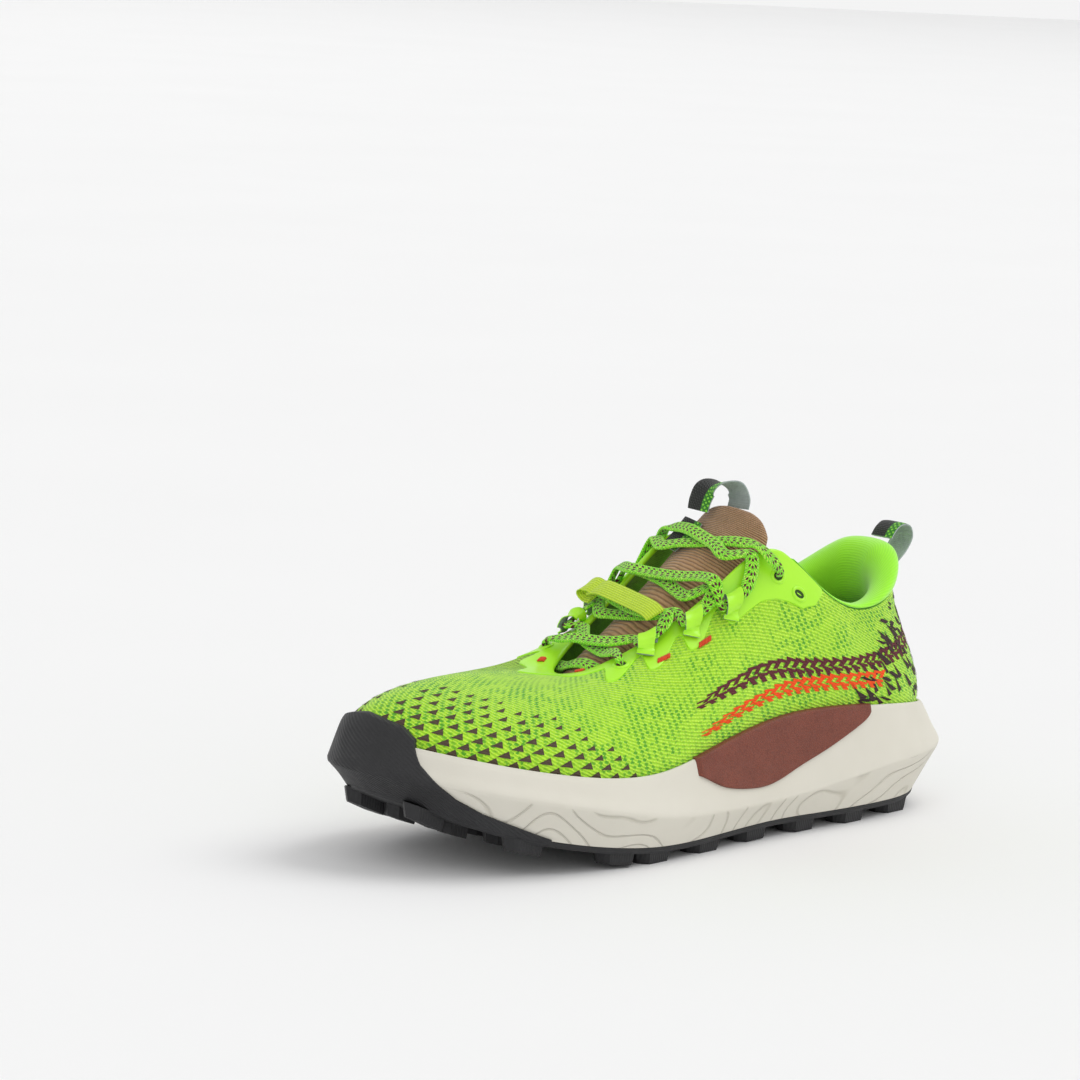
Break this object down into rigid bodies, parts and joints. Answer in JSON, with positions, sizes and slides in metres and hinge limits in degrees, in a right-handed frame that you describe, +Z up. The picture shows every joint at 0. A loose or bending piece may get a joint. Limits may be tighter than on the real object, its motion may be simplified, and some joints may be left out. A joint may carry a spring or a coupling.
{
  "type": "trail running shoe",
  "caption": "Left trail running shoe with a knitted upper, padded collar, criss-cross lace, foam midsole and lugged rubber outsole that flexes at the ball of the foot.",
  "frame": {"origin": "middle of the footprint on the ground", "axes": "toe points to -Y, lateral side to +X, up is +Z"},
  "size_m": [0.1094, 0.297, 0.1396],
  "materials": {
    "knit_upper": "fine diagonal-ribbed mesh knit",
    "welded_film": "smooth satin film",
    "rib_knit": "fine ribbed knit",
    "collar_lining": "smooth fine knit over foam",
    "midsole_foam": "moulded foam with engraved contour lines",
    "insert_foam": "leather-grained foam skin",
    "outsole_rubber": "matt ribbed rubber",
    "webbing": "woven webbing with a green edge",
    "lace_cord": "flat woven cord with dark red flecks",
    "lace_tip": "clear moulded tip",
    "loop_tape": "grey woven tape",
    "tack_thread": "dense orange stitching",
    "elastic": "ribbed elastic",
    "lasting_board": "stitched fibre sheet",
    "insole_fabric": "brushed knit over foam",
    "stiffener": "matt moulded sheet"
  },
  "bodies": {
    "rear": {"vamp_flex_panel": "knit_upper", "quarter_lateral": "knit_upper", "quarter_medial": "knit_upper", "eyestay_lateral": "welded_film", "eyestay_medial": "welded_film", "throat_overlay": "welded_film", "tongue_lower": "rib_knit", "collar_padding": "collar_lining", "midsole_rear": "midsole_foam", "midsole_insert": "insert_foam", "outsole_rear": "outsole_rubber", "tongue_label": "webbing", "lace": "lace_cord", "aglet_lateral": "lace_tip", "aglet_medial": "lace_tip", "lace_loop_lateral_1": "loop_tape", "lace_loop_lateral_2": "loop_tape", "lace_loop_lateral_3": "loop_tape", "lace_loop_medial_1": "loop_tape", "lace_loop_medial_2": "loop_tape", "lace_loop_medial_3": "loop_tape", "bar_tack_lateral_1": "tack_thread", "bar_tack_lateral_2": "tack_thread", "bar_tack_lateral_3": "tack_thread", "bar_tack_medial_1": "tack_thread", "bar_tack_medial_2": "tack_thread", "bar_tack_medial_3": "tack_thread", "lace_keeper": "elastic", "strobel_board": "lasting_board", "sockliner": "insole_fabric", "heel_counter": "stiffener"},
    "forefoot": {"outsole_forefoot": "outsole_rubber", "midsole_forefoot": "midsole_foam", "toe_bumper": "outsole_rubber", "toe_box": "knit_upper", "toe_puff": "stiffener"},
    "tongue": {"tongue_upper": "rib_knit"},
    "tongue_loop": {"tongue_pull_loop": "webbing"},
    "heel_loop": {"heel_pull_loop": "webbing"}
  },
  "joints": [
    {"name": "forefoot_flex", "type": "hinge", "parent": "rear", "child": "forefoot", "pos_m": [0, -0.0695, 0.033], "axis": [-1, 0, 0], "range_deg": [0, 30], "stiffness_Nm_per_rad": 8, "deforming": ["vamp_flex_panel", "strobel_board", "sockliner"]},
    {"name": "tongue_tilt", "type": "hinge", "parent": "rear", "child": "tongue", "pos_m": [0, 0.0289, 0.1111], "axis": [1, 0, 0], "range_deg": [-12, 8], "stiffness_Nm_per_rad": 0.25, "deforming": ["tongue_label"]},
    {"name": "tongue_loop_flop", "type": "hinge", "parent": "tongue", "child": "tongue_loop", "pos_m": [-0.0093, 0.0386, 0.1267], "axis": [0.66, 0.7456, 0.0917], "range_deg": [-15, 15], "stiffness_Nm_per_rad": 0.02},
    {"name": "heel_loop_swing", "type": "hinge", "parent": "rear", "child": "heel_loop", "pos_m": [-0.0015, 0.1292, 0.1055], "axis": [0, 0.4138, -0.9104], "range_deg": [-15, 15], "stiffness_Nm_per_rad": 0.02}
  ]
}
